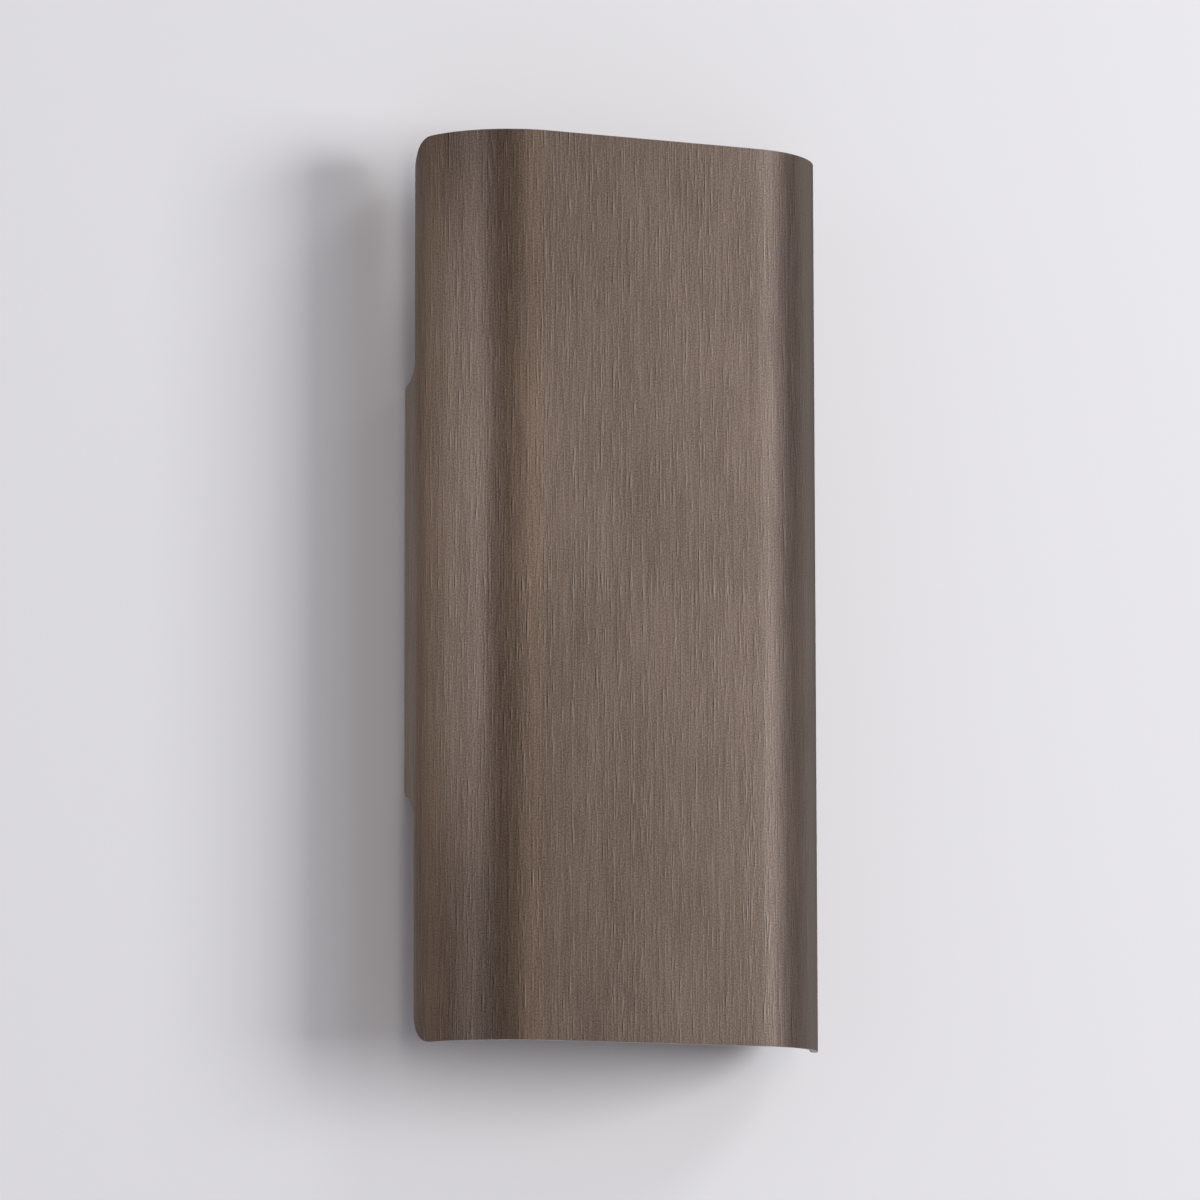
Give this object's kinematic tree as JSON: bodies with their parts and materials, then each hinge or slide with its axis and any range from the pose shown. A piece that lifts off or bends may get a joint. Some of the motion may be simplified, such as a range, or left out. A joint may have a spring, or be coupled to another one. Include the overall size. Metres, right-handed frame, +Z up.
{
  "type": "up and down wall light",
  "caption": "Up and down wall light: a bent bronze sheet shade, open at top and bottom, hangs on a wall plate with plug-in capsule lamps inside.",
  "frame": {"origin": "middle of the wall plate's back face, on the wall, level with the wall screws", "axes": "+Y into the wall, so the front faces -Y; +Z up along the shade's height; +X to the right seen from the front"},
  "size_m": [0.1436, 0.0425, 0.3],
  "materials": {
    "bronze": "antique bronze, hairline brushed from top to bottom",
    "zinc": "bright zinc plate",
    "plate_white": "matt white powder coat",
    "rubber_black": "moulded",
    "connector_plastic": "moulded polyamide, natural",
    "brass": "turned",
    "tinned": "tinned",
    "ceramic": "white steatite, glazed",
    "lamp_ceramic": "white, unglazed",
    "core_board": "white board with yellow chips",
    "lamp_glass": "frosted",
    "live_sleeve": "brown silicone sleeve",
    "neutral_sleeve": "blue silicone sleeve",
    "earth_sleeve": "green and yellow silicone sleeve"
  },
  "bodies": {
    "wall_unit": {"backplate": "plate_white", "left_hook": "plate_white", "right_hook": "plate_white", "left_ear": "plate_white", "right_ear": "plate_white", "cable_grommet": "rubber_black", "lock_screws": "zinc", "bracket_studs": "zinc", "bracket_washers": "zinc", "bracket_nuts": "zinc", "terminal_block": "connector_plastic", "terminal_barrels": "brass", "terminal_screws": "zinc", "terminal_studs": "zinc", "terminal_nuts": "zinc", "earth_stud": "brass", "earth_washers": "zinc", "earth_tag": "tinned", "earth_nut": "brass", "upper_live_wire": "live_sleeve", "lower_live_wire": "live_sleeve", "upper_neutral_wire": "neutral_sleeve", "lower_neutral_wire": "neutral_sleeve", "earth_lead": "earth_sleeve", "upper_bracket": "zinc", "upper_lampholder": "ceramic", "upper_holder_cap": "ceramic", "upper_contacts": "tinned", "upper_holder_screws": "zinc", "lower_bracket": "zinc", "lower_lampholder": "ceramic", "lower_holder_cap": "ceramic", "lower_contacts": "tinned", "lower_holder_screws": "zinc"},
    "shade_unit": {"shade": "bronze", "left_hanger": "zinc", "right_hanger": "zinc", "left_lug": "zinc", "right_lug": "zinc", "lug_nuts": "zinc"},
    "upper_lamp": {"upper_lamp_base": "lamp_ceramic", "upper_lamp_pins": "tinned", "upper_lamp_core": "core_board", "upper_lamp_glass": "lamp_glass"},
    "lower_lamp": {"lower_lamp_base": "lamp_ceramic", "lower_lamp_pins": "tinned", "lower_lamp_core": "core_board", "lower_lamp_glass": "lamp_glass"}
  },
  "joints": [
    {"name": "shade_lift", "type": "slide", "parent": "wall_unit", "child": "shade_unit", "axis": [0, 0, 1], "range_m": [0, 0.27]},
    {"name": "upper_lamp_pull", "type": "slide", "parent": "wall_unit", "child": "upper_lamp", "axis": [0, 0, 1], "range_m": [0, 0.105]},
    {"name": "lower_lamp_pull", "type": "slide", "parent": "wall_unit", "child": "lower_lamp", "axis": [0, 0, -1], "range_m": [0, 0.105]}
  ]
}
